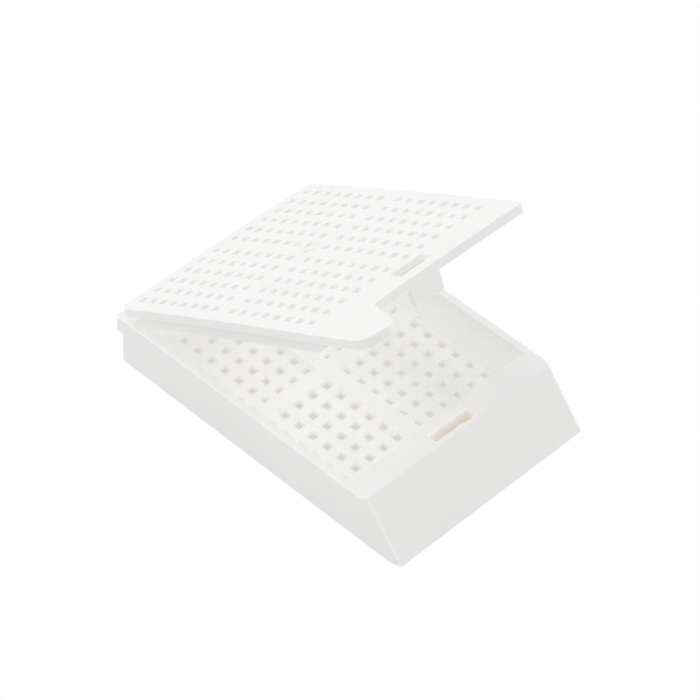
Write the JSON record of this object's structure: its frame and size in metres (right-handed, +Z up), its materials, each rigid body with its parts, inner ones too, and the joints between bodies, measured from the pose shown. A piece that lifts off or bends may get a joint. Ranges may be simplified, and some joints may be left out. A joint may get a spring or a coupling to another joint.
{
  "type": "tissue cassette",
  "caption": "Flat perforated tray with a hollow slanted writing face and a hinged perforated lid that latches at the front, for holding tissue while it is processed.",
  "frame": {"origin": "on the table, under the middle of the tray", "axes": "+X towards the slanted writing face, +Y across the tray away from the finger tab, +Z up"},
  "size_m": [0.0416, 0.028, 0.0279],
  "materials": {
    "acetal": "fine matte moulded white acetal"
  },
  "bodies": {
    "base": {"base": "acetal"},
    "lid": {"lid": "acetal"}
  },
  "joints": [
    {"name": "lid_hinge", "type": "hinge", "parent": "base", "child": "lid", "pos_m": [-0.02024, 0, 0.0052], "axis": [0, -1, 0], "range_deg": [-30.3, 140]}
  ]
}
